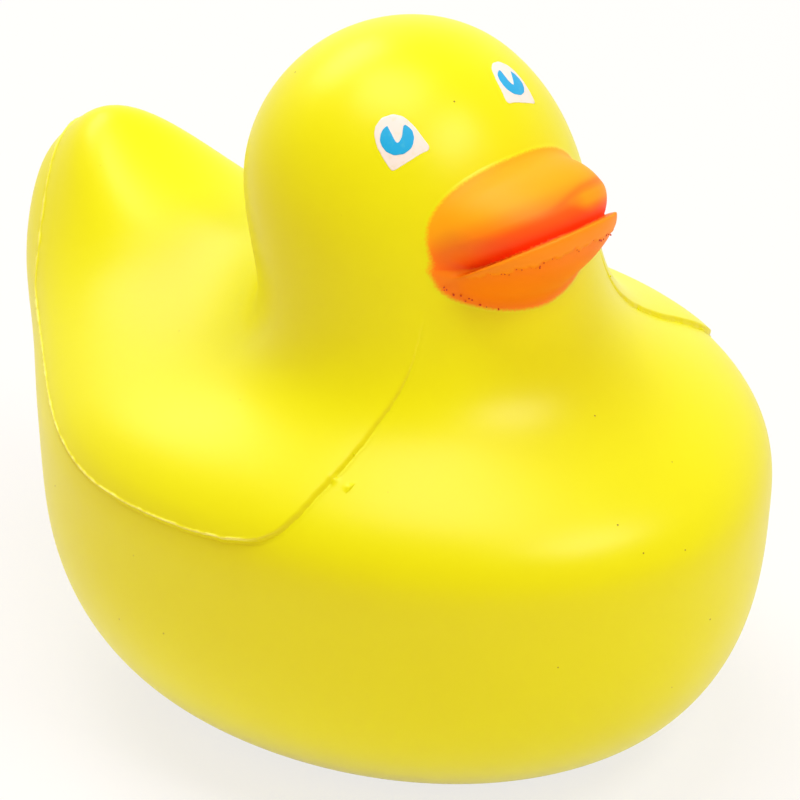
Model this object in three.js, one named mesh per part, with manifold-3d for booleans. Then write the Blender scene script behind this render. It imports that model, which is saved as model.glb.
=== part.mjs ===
// Squishy foam duck: one soft polyurethane moulding, solid foam right through.
// A boat of a body carries a ball of a head on a long throat, an upturned tail, raised wings
// that share one back, a wide upturned bill with a lip along the mouth, and a flat base.
// Millimetres, +Z up. The duck faces +X and its left side is +Y.
// The origin lies on the base, under the middle of the duck's length.
import * as THREE from 'three';
import { mergeVertices } from 'three/addons/utils/BufferGeometryUtils.js';
import Module from 'manifold-3d';

const wasm = await Module();
wasm.setup();

// Body: reaches from its widest level, and how square it is in plan and in height
const bodyFront = 45.6;
const bodyRear = 38.9;
const bodyHalfWidth = 35.5;
const bodyTop = 13.3;
const bodyBottom = 30.5;
const bodyFrontSquareness = 1.95;
const bodyRearSquareness = 2.04;
const bodyTopSquareness = 3.3;
const bodyBottomSquareness = 2.58;

// Base: the flat lies this far under the body's widest level
const baseDrop = 26.9;

// Head: a ball a little wider than long, carried over the back
const headHalfLength = 15.6;
const headHalfWidth = 17.7;
const headHalfHeight = 16;
const headSquareness = 1.98;
const headForward = 2.4;
const headAboveBack = 21.2;

// Neck: a tight fillet behind the head that widens all the way round to a long throat
// and, behind the head, runs out further over the back than up the head
const neckFilletBehind = 12;
const neckFilletBefore = 48.4;
const neckTurn = 1.4;
const neckRunOut = 0.4;

// Tail: a blunt paddle that leans back and up from its root inside the back
const tailHalfLength = 10.7;
const tailHalfWidth = 7.4;
const tailHalfThickness = 7.1;
const tailPitch = 46.5;
const tailRootInset = 4.1;
const tailRootDepth = 7.8;
const tailFillet = 29.2;
const tailPlanSquareness = 1.92;
const tailSideSquareness = 3.44;

// Wings: how proud they stand at the front and at the rear of their edge, and how that fades
const wingLift = 0.6;
const wingLiftRear = 0.4;
const wingFade = 24;
const wingNeckFade = 10;
const wingSink = 1;
const wingEdgeRise = 6.1;
const wingFrontCorner = 11.5;
const wingRearCorner = 30;
const wingFrontRound = 6;
const wingRearRound = 6;
const wingFrontReach = 18.3;
const wingFrontLean = 0.4;
const wingFrontHeight = 6.5;
const wingTailReach = 12;
const wingTailHeight = 3;

// Bill: two lobes that meet at the mouth, turned up at the tip
const billPitch = 32.7;
const billForward = 2.4;
const billDrop = 3.1;
const upperBillReach = 9.1;
const upperBillHalfWidth = 10.1;
const upperBillRise = 3.6;
const upperBillCrown = 6.2;
const upperBillUnder = 5.3;
const upperBillLean = 0.32;
const lowerBillReach = 8.9;
const lowerBillHalfWidth = 9.2;
const lowerBillRise = 0.5;
const lowerBillOver = 1;
const lowerBillUnder = 5.5;
const billPlanSquareness = 2.48;
const billSideSquareness = 2.2;
const billFillet = 1.6;
const billSink = 0.25;

// Lip: the thin ledge of foam left along the mouth
const lipReach = 9.7;
const lipHalfWidth = 10.1;
const lipThickness = 0.7;

// Facet sizes of the skin and of the finer bill
const skinPitch = 2.8;
const billSkinPitch = 1.05;

// Places that follow from the sizes
const body = { x: 0, z: baseDrop };
const back = body.z + bodyTop;
const head = { x: body.x + headForward, z: back + headAboveBack };
const tailAngle = THREE.MathUtils.degToRad(180 - tailPitch);
const tailRoot = { x: body.x - bodyRear + tailRootInset, z: back - tailRootDepth };
const tail = {
  x: tailRoot.x + tailHalfLength * Math.cos(tailAngle),
  z: tailRoot.z + tailHalfLength * Math.sin(tailAngle),
};
const tailTip = { x: 2 * tail.x - tailRoot.x, z: 2 * tail.z - tailRoot.z };
const bill = { x: head.x + headHalfLength + billForward, z: head.z - billDrop };
const wing = { edge: body.z + wingEdgeRise, front: body.x + wingFrontCorner, rear: body.x - wingRearCorner };
const upperBill = {
  reach: upperBillReach,
  halfWidth: upperBillHalfWidth,
  rise: upperBillRise,
  over: upperBillCrown,
  under: upperBillUnder,
  lean: upperBillLean,
};
const lowerBill = {
  reach: lowerBillReach,
  halfWidth: lowerBillHalfWidth,
  rise: lowerBillRise,
  over: lowerBillOver,
  under: lowerBillUnder,
  lean: 0,
};

// Measure from a squarish egg: negative inside, zero on its skin
function egg(x, y, z, reach, planSquareness, sideSquareness) {
  const across = (Math.abs(x) / reach.x) ** planSquareness + (Math.abs(y) / reach.y) ** planSquareness;
  const upright = (Math.abs(z) / reach.z) ** sideSquareness;
  const share = (across ** (sideSquareness / planSquareness) + upright) ** (1 / sideSquareness);
  const nearCentre = 1e-6;
  return Math.hypot(x, y, z) * (1 - 1 / Math.max(share, nearCentre));
}

// Union of two forms with a fillet where they meet
function blend(a, b, fillet) {
  const overlap = Math.max(fillet - Math.abs(a - b), 0) / fillet;
  return Math.min(a, b) - (overlap * overlap * fillet) / 4;
}

// Place of a point in a frame that is pitched up from +X by an angle in degrees
function pitched(x, z, origin, degrees) {
  const angle = THREE.MathUtils.degToRad(degrees);
  const dx = x - origin.x;
  const dz = z - origin.z;
  return {
    along: dx * Math.cos(angle) + dz * Math.sin(angle),
    above: dz * Math.cos(angle) - dx * Math.sin(angle),
  };
}

function bodyForm(x, y, z) {
  const dx = x - body.x;
  const dz = z - body.z;
  const reach = {
    x: dx > 0 ? bodyFront : bodyRear,
    y: bodyHalfWidth,
    z: dz > 0 ? bodyTop : bodyBottom,
  };
  const planSquareness = dx > 0 ? bodyFrontSquareness : bodyRearSquareness;
  const sideSquareness = dz > 0 ? bodyTopSquareness : bodyBottomSquareness;
  return egg(dx, y, dz, reach, planSquareness, sideSquareness);
}

function tailForm(x, y, z) {
  const place = pitched(x, z, tail, 180 - tailPitch);
  const reach = { x: tailHalfLength, y: tailHalfWidth, z: tailHalfThickness };
  return egg(place.along, y, place.above, reach, tailPlanSquareness, tailSideSquareness);
}

function headForm(x, y, z) {
  const reach = { x: headHalfLength, y: headHalfWidth, z: headHalfHeight };
  return egg(x - head.x, y, z - head.z, reach, headSquareness, headSquareness);
}

function duckForm(x, y, z) {
  const trunk = blend(bodyForm(x, y, z), tailForm(x, y, z), tailFillet);
  const nearAxis = 2;
  const ahead = (x - head.x) / Math.hypot(x - head.x, y, nearAxis);
  const before = ((1 + ahead) / 2) ** neckTurn;
  const neckFillet = THREE.MathUtils.lerp(neckFilletBehind, neckFilletBefore, before);
  const runOut = THREE.MathUtils.lerp(neckRunOut, 1, Math.sqrt(before));
  return blend(trunk, runOut * headForm(x, y, z), neckFillet);
}

// How far a point lies inside the wing's edge, seen from the side
function insideWing(x, z) {
  const behind = THREE.MathUtils.clamp((wing.rear - x) / wingTailReach, 0, 1);
  const above = z - wing.edge - wingTailHeight * behind * behind;
  const slope = (wingFrontReach - wingFrontCorner) / wingFrontHeight;
  const climb = THREE.MathUtils.clamp(z - wing.edge, 0, wingFrontHeight);
  const behindFront = (wing.front + slope * climb - x) / Math.hypot(1, slope);
  return Math.max(Math.min(above, behindFront), 0);
}

// The back and wings: the duck's skin moved out at the wing's edge, fading inwards and up the neck
function wingForm(x, y, z) {
  const inwards = THREE.MathUtils.smoothstep(insideWing(x, z), 0, wingFade);
  const upNeck = THREE.MathUtils.smoothstep(z, back, back + wingNeckFade);
  const ahead = THREE.MathUtils.smoothstep(x, wing.rear, body.x + wingFrontReach);
  const proud = THREE.MathUtils.lerp(wingLiftRear, wingLift, ahead);
  return duckForm(x, y, z) - THREE.MathUtils.lerp(proud, -wingSink, Math.max(inwards, upNeck));
}

// One lobe of the bill, let into the head with a fillet and cut off where the fillet has run out
function lobeForm(lobe) {
  return (x, y, z) => {
    const place = pitched(x, z, bill, billPitch);
    const above = place.above - lobe.rise;
    const reach = { x: lobe.reach, y: lobe.halfWidth, z: above > 0 ? lobe.over : lobe.under };
    const along = place.along + lobe.lean * above;
    const form = egg(along, y, above, reach, billPlanSquareness, billSideSquareness);
    const root = blend(form, duckForm(x, y, z) + billSink, billFillet);
    return Math.max(root, form - billFillet);
  };
}

// Slope of a form at a point
function slopeOf(form, p) {
  const step = 0.01;
  return new THREE.Vector3(
    form(p.x + step, p.y, p.z) - form(p.x - step, p.y, p.z),
    form(p.x, p.y + step, p.z) - form(p.x, p.y - step, p.z),
    form(p.x, p.y, p.z + step) - form(p.x, p.y, p.z - step),
  ).divideScalar(2 * step);
}

// Moves a point onto the skin of a form
function seat(form, p) {
  const passes = 4;
  const flattest = 0.05;
  for (let pass = 0; pass < passes; pass += 1) {
    const slope = slopeOf(form, p);
    p.addScaledVector(slope, -form(p.x, p.y, p.z) / Math.max(slope.lengthSq(), flattest));
  }
  return p;
}

// Evens out the facets: each corner moves towards the middle of its neighbours and is seated again
function evenOut(form, corners, triangles) {
  const passes = 6;
  const share = 0.5;
  const neighbours = corners.map(() => new Set());
  for (let n = 0; n < triangles.length; n += 3) {
    const ring = triangles.slice(n, n + 3);
    ring.forEach((corner, side) => neighbours[corner].add(ring[(side + 1) % 3]));
  }
  for (let pass = 0; pass < passes; pass += 1) {
    const middles = neighbours.map((around) => {
      const middle = new THREE.Vector3();
      around.forEach((corner) => middle.add(corners[corner]));
      return middle.divideScalar(around.size);
    });
    corners.forEach((corner, n) => seat(form, corner.lerp(middles[n], share)));
  }
}

// Closed skin of a form inside a box: one corner in each grid cell that the skin crosses,
// seated on the form, and one four-sided facet round each grid edge that it crosses
function skinOf(form, box, pitch) {
  const size = box.getSize(new THREE.Vector3());
  const count = [size.x, size.y, size.z].map((length) => Math.ceil(length / pitch) + 1);
  const first = new THREE.Vector3(...count).subScalar(1).multiplyScalar(-pitch / 2);
  first.add(box.getCenter(new THREE.Vector3()));
  const at = (i, j, k) => (i * count[1] + j) * count[2] + k;
  const point = (i, j, k) => new THREE.Vector3(i, j, k).multiplyScalar(pitch).add(first);
  const value = new Float64Array(count[0] * count[1] * count[2]);
  for (let i = 0; i < count[0]; i += 1) {
    for (let j = 0; j < count[1]; j += 1) {
      for (let k = 0; k < count[2]; k += 1) {
        const p = point(i, j, k);
        value[at(i, j, k)] = form(p.x, p.y, p.z);
      }
    }
  }

  const axes = [[1, 0, 0], [0, 1, 0], [0, 0, 1]];
  const corners = [];
  const cornerOf = new Map();
  const cellCorner = (i, j, k) => {
    const key = at(i, j, k);
    if (!cornerOf.has(key)) {
      const middle = new THREE.Vector3();
      let crossings = 0;
      for (let n = 0; n < 8; n += 1) {
        const a = [i + (n & 1), j + ((n >> 1) & 1), k + ((n >> 2) & 1)];
        axes.forEach((step, axis) => {
          const b = a.map((cell, side) => cell + step[side]);
          const start = value[at(...a)];
          const end = b[axis] > [i, j, k][axis] + 1 ? start : value[at(...b)];
          if (start < 0 !== end < 0) {
            middle.add(point(...a).lerp(point(...b), start / (start - end)));
            crossings += 1;
          }
        });
      }
      cornerOf.set(key, corners.length);
      corners.push(seat(form, middle.divideScalar(crossings)));
    }
    return cornerOf.get(key);
  };

  const triangles = [];
  const addFacet = (ring) => {
    const [a, b, c, d] = ring.map((corner) => corners[corner]);
    if (a.distanceTo(c) < b.distanceTo(d)) {
      triangles.push(ring[0], ring[1], ring[2], ring[0], ring[2], ring[3]);
    } else {
      triangles.push(ring[1], ring[2], ring[3], ring[1], ring[3], ring[0]);
    }
  };
  for (let i = 1; i < count[0] - 1; i += 1) {
    for (let j = 1; j < count[1] - 1; j += 1) {
      for (let k = 1; k < count[2] - 1; k += 1) {
        axes.forEach((step, axis) => {
          const inside = value[at(i, j, k)] < 0;
          const beyond = value[at(i + step[0], j + step[1], k + step[2])] < 0;
          if (inside === beyond) return;
          const u = axes[(axis + 1) % 3];
          const v = axes[(axis + 2) % 3];
          const cellBehind = (m, n) => [i, j, k].map((cell, side) => cell - m * u[side] - n * v[side]);
          const around = [[1, 1], [0, 1], [0, 0], [1, 0]];
          const ring = around.map(([m, n]) => cellCorner(...cellBehind(m, n)));
          addFacet(inside ? ring : ring.reverse());
        });
      }
    }
  }

  evenOut(form, corners, triangles);
  const geometry = new THREE.BufferGeometry().setFromPoints(corners);
  geometry.setIndex(triangles);
  return geometry;
}

// Solid from a closed geometry
function solidOf(geometry) {
  geometry.deleteAttribute('normal');
  geometry.deleteAttribute('uv');
  const merged = mergeVertices(geometry);
  return new wasm.Manifold(new wasm.Mesh({
    numProp: 3,
    vertProperties: new Float32Array(merged.attributes.position.array),
    triVerts: new Uint32Array(merged.index.array),
  }));
}

function geometryOf(solid) {
  const mesh = solid.getMesh();
  const geometry = new THREE.BufferGeometry();
  geometry.setAttribute('position', new THREE.BufferAttribute(mesh.vertProperties, 3));
  geometry.setIndex(new THREE.BufferAttribute(mesh.triVerts, 1));
  geometry.computeVertexNormals();
  return geometry;
}

// Room that holds the whole duck with a cell or two to spare
const spare = 2 * skinPitch + wingLift;
const rearmost = Math.min(body.x - bodyRear, tail.x - tailHalfLength - tailHalfThickness);
const foremost = Math.max(body.x + bodyFront, bill.x + upperBillReach, head.x + headHalfLength);
const highest = Math.max(head.z + headHalfHeight, tail.z + tailHalfLength + tailHalfThickness);
const widest = Math.max(bodyHalfWidth, headHalfWidth, tailHalfWidth);
const duckRoom = new THREE.Box3(
  new THREE.Vector3(rearmost - spare, -widest - spare, body.z - bodyBottom - spare),
  new THREE.Vector3(foremost + spare, widest + spare, highest + spare),
);

// Everything above and behind the wing's edge, seen from the side and run through the duck
function wingRoom() {
  const neckLine = body.x + wingFrontReach;
  const outline = new THREE.Shape();
  outline.moveTo(wing.rear, wing.edge);
  outline.lineTo(wing.front, wing.edge);
  outline.bezierCurveTo(
    wing.front + wingFrontRound, wing.edge,
    neckLine - wingFrontLean, wing.edge + wingFrontHeight / 2,
    neckLine, wing.edge + wingFrontHeight,
  );
  outline.lineTo(neckLine, duckRoom.max.z);
  outline.lineTo(tailTip.x, duckRoom.max.z);
  outline.lineTo(tailTip.x, tailTip.z);
  outline.lineTo(wing.rear - wingTailReach, wing.edge + wingTailHeight);
  outline.quadraticCurveTo(wing.rear - wingRearRound, wing.edge, wing.rear, wing.edge);
  const depth = duckRoom.max.y - duckRoom.min.y;
  const geometry = new THREE.ExtrudeGeometry(outline, { depth, curveSegments: 10, bevelEnabled: false });
  geometry.rotateX(Math.PI / 2);
  geometry.translate(0, duckRoom.max.y, 0);
  return solidOf(geometry);
}

// The lip: a thin oval plate in the plane of the mouth
function lipPlate() {
  const outline = new THREE.Shape();
  outline.absellipse(0, 0, lipReach, lipHalfWidth, 0, 2 * Math.PI);
  const plate = { depth: lipThickness, curveSegments: 24, bevelEnabled: false };
  const geometry = new THREE.ExtrudeGeometry(outline, plate);
  geometry.translate(0, 0, -lipThickness / 2);
  geometry.rotateY(-THREE.MathUtils.degToRad(billPitch));
  geometry.translate(bill.x, 0, bill.z);
  return solidOf(geometry);
}

function lobeSolid(lobe) {
  const reach = lobe.reach + Math.max(lobe.over, lobe.under) + billFillet;
  const halfWidth = lobe.halfWidth + billFillet + 2 * billSkinPitch;
  const room = new THREE.Box3(
    new THREE.Vector3(bill.x - reach, -halfWidth, bill.z - reach),
    new THREE.Vector3(bill.x + reach, halfWidth, bill.z + reach),
  );
  return solidOf(skinOf(lobeForm(lobe), room, billSkinPitch));
}

// The room under the base, cut away to leave the flat
function underBase() {
  const size = duckRoom.getSize(new THREE.Vector3());
  const geometry = new THREE.BoxGeometry(size.x, size.y, size.z);
  geometry.translate((duckRoom.min.x + duckRoom.max.x) / 2, 0, -size.z / 2);
  return solidOf(geometry);
}

function duckSolid() {
  const trunk = solidOf(skinOf(duckForm, duckRoom, skinPitch));
  const wings = solidOf(skinOf(wingForm, duckRoom, skinPitch)).intersect(wingRoom());
  const billParts = [lobeSolid(upperBill), lobeSolid(lowerBill), lipPlate()];
  return billParts.reduce((whole, piece) => whole.add(piece), trunk.add(wings)).subtract(underBase());
}

const geometry = geometryOf(duckSolid());
geometry.computeBoundingBox();
const middle = (geometry.boundingBox.min.x + geometry.boundingBox.max.x) / 2;
geometry.translate(-middle, 0, 0);

const yellowFoam = new THREE.MeshStandardMaterial({ color: 0xf0e800, roughness: 0.5, metalness: 0 });
const duck = new THREE.Mesh(geometry, yellowFoam);
duck.name = 'foam_duck';

const part = new THREE.Group();
part.add(duck);

export default part;
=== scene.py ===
"""Squishy foam duck: one soft moulding with a sprayed bill and pad-printed eyes."""
import math

import bpy
import numpy as np
from mathutils import Matrix, Vector, kdtree, noise


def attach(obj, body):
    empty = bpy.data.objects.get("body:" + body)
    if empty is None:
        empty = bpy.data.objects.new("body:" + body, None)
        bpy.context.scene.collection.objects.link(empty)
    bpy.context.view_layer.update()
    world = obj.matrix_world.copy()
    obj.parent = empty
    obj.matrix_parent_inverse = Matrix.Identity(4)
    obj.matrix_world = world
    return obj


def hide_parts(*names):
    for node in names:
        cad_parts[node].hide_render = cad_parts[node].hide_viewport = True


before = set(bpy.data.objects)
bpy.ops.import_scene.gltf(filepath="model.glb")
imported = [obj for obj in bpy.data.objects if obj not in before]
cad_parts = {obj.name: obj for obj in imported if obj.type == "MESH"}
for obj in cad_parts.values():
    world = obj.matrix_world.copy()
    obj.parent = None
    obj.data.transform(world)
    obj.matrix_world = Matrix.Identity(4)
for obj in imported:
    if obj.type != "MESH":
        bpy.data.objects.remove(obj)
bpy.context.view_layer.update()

# Sizes are in millimetres, round the body's own middle, which lies BODY_AHEAD in front of the duck's
MM = 0.001
BODY_AHEAD = 3.49
SEED = 7

# Body: reaches from its widest level, and how square it is in plan and in height
BODY_FRONT = 45.6
BODY_REAR = 38.9
BODY_HALF_WIDTH = 35.5
BODY_TOP = 13.3
BODY_BOTTOM = 30.5
BODY_FRONT_SQUARENESS = 1.95
BODY_REAR_SQUARENESS = 2.04
BODY_TOP_SQUARENESS = 3.3
BODY_BOTTOM_SQUARENESS = 2.58
BASE_DROP = 26.9
BASE_ROUND = 2.4

# Head: a ball a little wider than long, carried over the back
HEAD_REACH = (15.6, 17.7, 16.0)
HEAD_SQUARENESS = 1.98
HEAD_X = 2.4
HEAD_Z = BASE_DROP + BODY_TOP + 21.2

# Neck: a tight fillet behind the head that widens all the way round to a long throat
# and, behind the head, runs out further over the back than up the head
NECK_BEHIND = 17.0
NECK_BEFORE = 48.4
NECK_TURN = 1.4
NECK_RUN_OUT = 0.4
NEAR_AXIS_LOW = 2.0
NEAR_AXIS_HIGH = 10.0

# Tail: a blunt paddle that leans back and up
TAIL_REACH = (10.7, 7.4, 7.1)
TAIL_PITCH = 180 - 46.5
TAIL_ROOT_X = -BODY_REAR + 4.1
TAIL_ROOT_Z = BASE_DROP + BODY_TOP - 7.8
TAIL_X = TAIL_ROOT_X + TAIL_REACH[0] * math.cos(math.radians(TAIL_PITCH))
TAIL_Z = TAIL_ROOT_Z + TAIL_REACH[0] * math.sin(math.radians(TAIL_PITCH))
TAIL_PLAN = 1.92
TAIL_SIDE = 3.44
TAIL_FILLET = 29.2

# Bill: a crested upper lobe over a bowl with a sharp rim, turned up at the tip
BILL_PITCH = 33.1
BILL_X = HEAD_X + HEAD_REACH[0] + 2.73
BILL_Z = HEAD_Z - 3.19
BILL_PLAN = 2.28
UPPER_REACH = 9.7
UPPER_HALF_WIDTH = 10.0
UPPER_RISE = 3.74
UPPER_CROWN = 5.9
UPPER_UNDER = 6.35
UPPER_LEAN = 0.48
UPPER_CROWN_SQUARENESS = 2.6
UPPER_UNDER_SQUARENESS = 1.65
BOWL_REACH = 10.1
BOWL_HALF_WIDTH = 9.8
BOWL_RIM = 0.44
BOWL_DEPTH = 5.15
BOWL_SQUARENESS = 1.65
RIM_ROUND = 0.2
CORNER_FILLET = 4.5
MOUTH_FILLET = 0.15
GROWN_TOGETHER = (-4.0, 3.5)
FILLET_CHEEK = 1.6
FILLET_CROWN = 1.7
CHEEK_TO_CROWN = (2.0, 7.0)
BILL_SINK = 0.015

# Torn flash under the bill's rim: its edge has waves, each with a count, a height and a start
TORN_DEPTH_CORNER = 0.2
TORN_DEPTH_TIP = 1.9
TORN_PROUD = 0.16
TORN_START = (-4.0, 7.0)
TORN_EDGE = 0.12
TORN_WAVES = ((19, 0.14, 0.6), (43, 0.12, 2.1), (87, 0.08, 0.0))
WAVES_START = (-3.0, 4.0)

# Bill paint: how far it runs over the head, and where on the bill painted shade makes it red and painted
# light makes it paler
PAINT_MARGIN = 1.05
PAINT_FAR = 9.0
TIP_START = (0.0, 8.0)
MOUTH_START = (-7.0, 2.0)
MOUTH_REACH = 2.2
VALLEY_TOP = (2.7, 1.5)
VALLEY_TURN = (-0.5, 3.0)
VALLEY_BLUR = (1.4, 0.7)
VALLEY_AT_CORNER = 0.45
CREASE_TOP = (3.0, 3.9)
CREASE_TURN = (-2.4, 3.7)
CREASE_START = (-4.0, 0.0)
CREASE_HALF_WIDTH = 0.35
NOSE_START = (0.5, 3.0)
NOSE_LOW = (1.5, 2.4)
NOSE_HIGH = (3.0, 3.7)
CROWN_LEVELS = (2.6, 5.6)
LOBE_EDGE = 0.2
# Painted shade: how much redder the paint is painted in the valley, round the mouth and along the crease
VALLEY_PAINTED_SHADE = 0.65
MOUTH_PAINTED_SHADE = 0.35
CREASE_PAINTED_SHADE = 0.35
# Painted light: how much paler the paint is painted on the nose and on the torn band
NOSE_PAINTED_HIGHLIGHT = 0.6
TORN_PAINTED_LIGHT = 0.4

# Mould parting: half of the line, from the tail's tip round the wing to the corner of the mouth,
# with how far the wing stands proud along it
PARTING = (
    (-49.8, 0.0, 48.3, 0.10),
    (-48.6, 3.2, 46.6, 0.10),
    (-45.6, 6.6, 42.6, 0.12),
    (-42.6, 10.8, 38.6, 0.16),
    (-39.2, 16.0, 35.6, 0.20),
    (-28.8, 23.6, 34.2, 0.26),
    (-17.9, 30.9, 33.1, 0.30),
    (-8.8, 34.3, 32.4, 0.34),
    (1.1, 34.9, 32.7, 0.40),
    (9.3, 33.8, 33.2, 0.50),
    (14.6, 32.3, 34.0, 0.58),
    (17.6, 30.2, 35.9, 0.58),
    (18.4, 23.8, 39.9, 0.48),
    (18.2, 17.9, 43.6, 0.36),
    (18.3, 15.7, 45.9, 0.26),
    (18.5, 13.9, 49.2, 0.14),
    (18.5, 12.5, 53.4, 0.05),
    (18.6, 11.6, 56.2, 0.0),
)
PARTING_STEP = 0.25
WING_START = (0.25, 2.0)
WING_FADE = 26.0
WING_FRONT = (12.0, 18.0)

# Seam: a strip along the parting line, with the wing's wall, a fringe of flash with a painted highlight on
# its crest, and painted shade under it and along the front step.
# Places across the strip count from the line into the wing. Its columns have a start and an end,
# with a step where they are fine and a number where they are coarse
SEAM_OUTSIDE = 2.4
SEAM_INSIDE = 4.0
SEAM_FINE = (-0.5, 0.55, 0.07)
SEAM_COARSE_OUTSIDE = (-SEAM_OUTSIDE, -0.6, 13)
SEAM_COARSE_INSIDE = (0.65, SEAM_INSIDE, 12)
SEAM_DEPTH = 0.9
SEAM_PROUD = 0.015
SEAM_SUNK = 0.04
SEAM_SUNK_OUTSIDE = 0.8
SEAM_SUNK_INSIDE = 2.0
SEAM_END_LIFT = 0.05
SEAM_END_SUNK = 0.05
WALL_HALF_WIDTH = (0.15, 0.3)
RAGGED_SCALE = 0.9
RAGGED_SHIFT = 0.12
FRAYED_SCALE = 3.1
FRAYED_START = (9, 2, 5)
FRAYED_SHIFT = 0.08
FLASH_HEIGHT = 0.24
FLASH_PLACE = 0.06
FLASH_HALF_WIDTH = 0.13
FLASH_FROM_LIFT = (0.02, 0.12)
FLASH_AT_FRONT = 0.2
FLASH_PLAIN = 0.85
FLASH_RAGGED = 0.6
FLASH_FRAYED = 0.5
FLASH_RANGE = (0.2, 2.0)
# Painted highlight: how much paler the flash's crest is painted
FLASH_PAINTED_HIGHLIGHT = 0.75
GROOVE_DEPTH = 0.1
GROOVE_PLACE = -0.26
# Painted shade: a darker line painted under the wing's edge and along the front step
SHADE_UNDER_EDGE = 0.7
SHADE_UNDER_EDGE_PLACE = -0.3
SHADE_UNDER_EDGE_HALF_WIDTH = 0.16
SHADE_FRONT_STEP = 0.25
SHADE_FRONT_STEP_PLACE = -0.05
SHADE_FRONT_STEP_HALF_WIDTH = 0.26
SHADE_FROM_LIFT = (0.04, 0.25)
LUMPS = ((18.6, -24.7, 39.4), (20.6, -24.4, 39.3))
LUMP_HEIGHT = 0.32
LUMP_RADIUS = 0.42

# Skins: the pitch of their facets, and the boxes that they are looked for in
SKIN_PITCH = 0.66
SKIN_LOW = (-54, -38, -2)
SKIN_HIGH = (49, 38, 80)
BILL_SKIN_PITCH = 0.24
BILL_SKIN_LOW = (3.0, -18.0, 44.0)
BILL_SKIN_HIGH = (36.0, 18.0, 82.0)


def linear(colour):
    """Linear colour of an sRGB hex value."""
    parts = [int(colour[n:n + 2], 16) / 255 for n in (1, 3, 5)]
    return [c / 12.92 if c <= 0.04045 else ((c + 0.055) / 1.055) ** 2.4 for c in parts] + [1.0]


def smoothstep(value, start, end):
    share = np.clip((value - start) / (end - start), 0, 1)
    return share * share * (3 - 2 * share)


def mix(start, end, share):
    return start + (end - start) * share


def ridge(value, place, half_width):
    """1 at a place, falling off softly on both sides of it."""
    return np.exp(-((value - place) / half_width) ** 2)


# Forms: measures that are negative inside and zero on the skin


def egg(p, reach, plan, side):
    """Measure from a squarish egg."""
    across = (np.abs(p[..., 0]) / reach[0]) ** plan + (np.abs(p[..., 1]) / reach[1]) ** plan
    upright = (np.abs(p[..., 2]) / reach[2]) ** side
    share = (across ** (side / plan) + upright) ** (1 / side)
    near_centre = 1e-6
    return np.linalg.norm(p, axis=-1) * (1 - 1 / np.maximum(share, near_centre))


def join(a, b, fillet):
    """Union of two forms with a fillet where they meet."""
    overlap = np.maximum(fillet - np.abs(a - b), 0) / fillet
    return np.minimum(a, b) - overlap * overlap * fillet / 4


def trim(a, b, rounding):
    """What two forms share, with a rounded edge where they meet."""
    return -join(-a, -b, rounding)


def pitched(p, x, z, degrees):
    """Places in a frame that is pitched up from the duck's forward direction."""
    angle = math.radians(degrees)
    dx = p[..., 0] - x
    dz = p[..., 2] - z
    along = dx * math.cos(angle) + dz * math.sin(angle)
    above = dz * math.cos(angle) - dx * math.sin(angle)
    return np.stack((along, p[..., 1], above), -1)


def body_form(p):
    q = p - np.array((0, 0, BASE_DROP))
    ahead = q[..., 0] > 0
    above = q[..., 2] > 0
    length = np.where(ahead, BODY_FRONT, BODY_REAR)
    height = np.where(above, BODY_TOP, BODY_BOTTOM)
    reach = (length, BODY_HALF_WIDTH, height)
    plan = np.where(ahead, BODY_FRONT_SQUARENESS, BODY_REAR_SQUARENESS)
    side = np.where(above, BODY_TOP_SQUARENESS, BODY_BOTTOM_SQUARENESS)
    return egg(q, reach, plan, side)


def duck_form(p):
    """Body, tail and head in one skin, without the flat base and the bill."""
    tail = egg(pitched(p, TAIL_X, TAIL_Z, TAIL_PITCH), TAIL_REACH, TAIL_PLAN, TAIL_SIDE)
    trunk = join(body_form(p), tail, TAIL_FILLET)
    q = p - np.array((HEAD_X, 0, HEAD_Z))
    head = egg(q, HEAD_REACH, HEAD_SQUARENESS, HEAD_SQUARENESS)
    near_axis = mix(NEAR_AXIS_LOW, NEAR_AXIS_HIGH, smoothstep(q[..., 2], 0, HEAD_REACH[2]))
    ahead = q[..., 0] / np.sqrt(q[..., 0] ** 2 + q[..., 1] ** 2 + near_axis ** 2)
    before = ((1 + ahead) / 2) ** NECK_TURN
    neck = mix(NECK_BEHIND, NECK_BEFORE, before)
    return join(trunk, head * mix(NECK_RUN_OUT, 1, np.sqrt(before)), neck)


def foam_form(p):
    """The duck with its flat base."""
    return trim(duck_form(p), -p[..., 2], BASE_ROUND)


def bill_lobes(p):
    """The upper lobe and the bowl under it, before they are let into the head."""
    q = pitched(p, BILL_X, BILL_Z, BILL_PITCH)
    over = q[..., 2] - UPPER_RISE
    upper = np.stack((q[..., 0] + UPPER_LEAN * over, q[..., 1], over), -1)
    reach = (UPPER_REACH, UPPER_HALF_WIDTH, np.where(over > 0, UPPER_CROWN, UPPER_UNDER))
    side = np.where(over > 0, UPPER_CROWN_SQUARENESS, UPPER_UNDER_SQUARENESS)
    upper_lobe = egg(upper, reach, BILL_PLAN, side)
    level = q[..., 2] - BOWL_RIM
    below = np.stack((q[..., 0], q[..., 1], np.minimum(level, 0)), -1)
    wall = egg(below, (BOWL_REACH, BOWL_HALF_WIDTH, BOWL_DEPTH), BILL_PLAN, BOWL_SQUARENESS)
    return upper_lobe, trim(wall - TORN_PROUD * torn_band(q), level, RIM_ROUND)


def torn_depth(q):
    """Depth under the rim at which the flash is torn off, more at the tip."""
    turn = np.arctan2(q[..., 1], q[..., 0])
    torn = sum(height * np.sin(waves * turn + start) for waves, height, start in TORN_WAVES)
    deepest = mix(TORN_DEPTH_CORNER, TORN_DEPTH_TIP, smoothstep(q[..., 0], 0.0, BOWL_REACH))
    return deepest + torn * smoothstep(q[..., 0], *WAVES_START)


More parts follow.
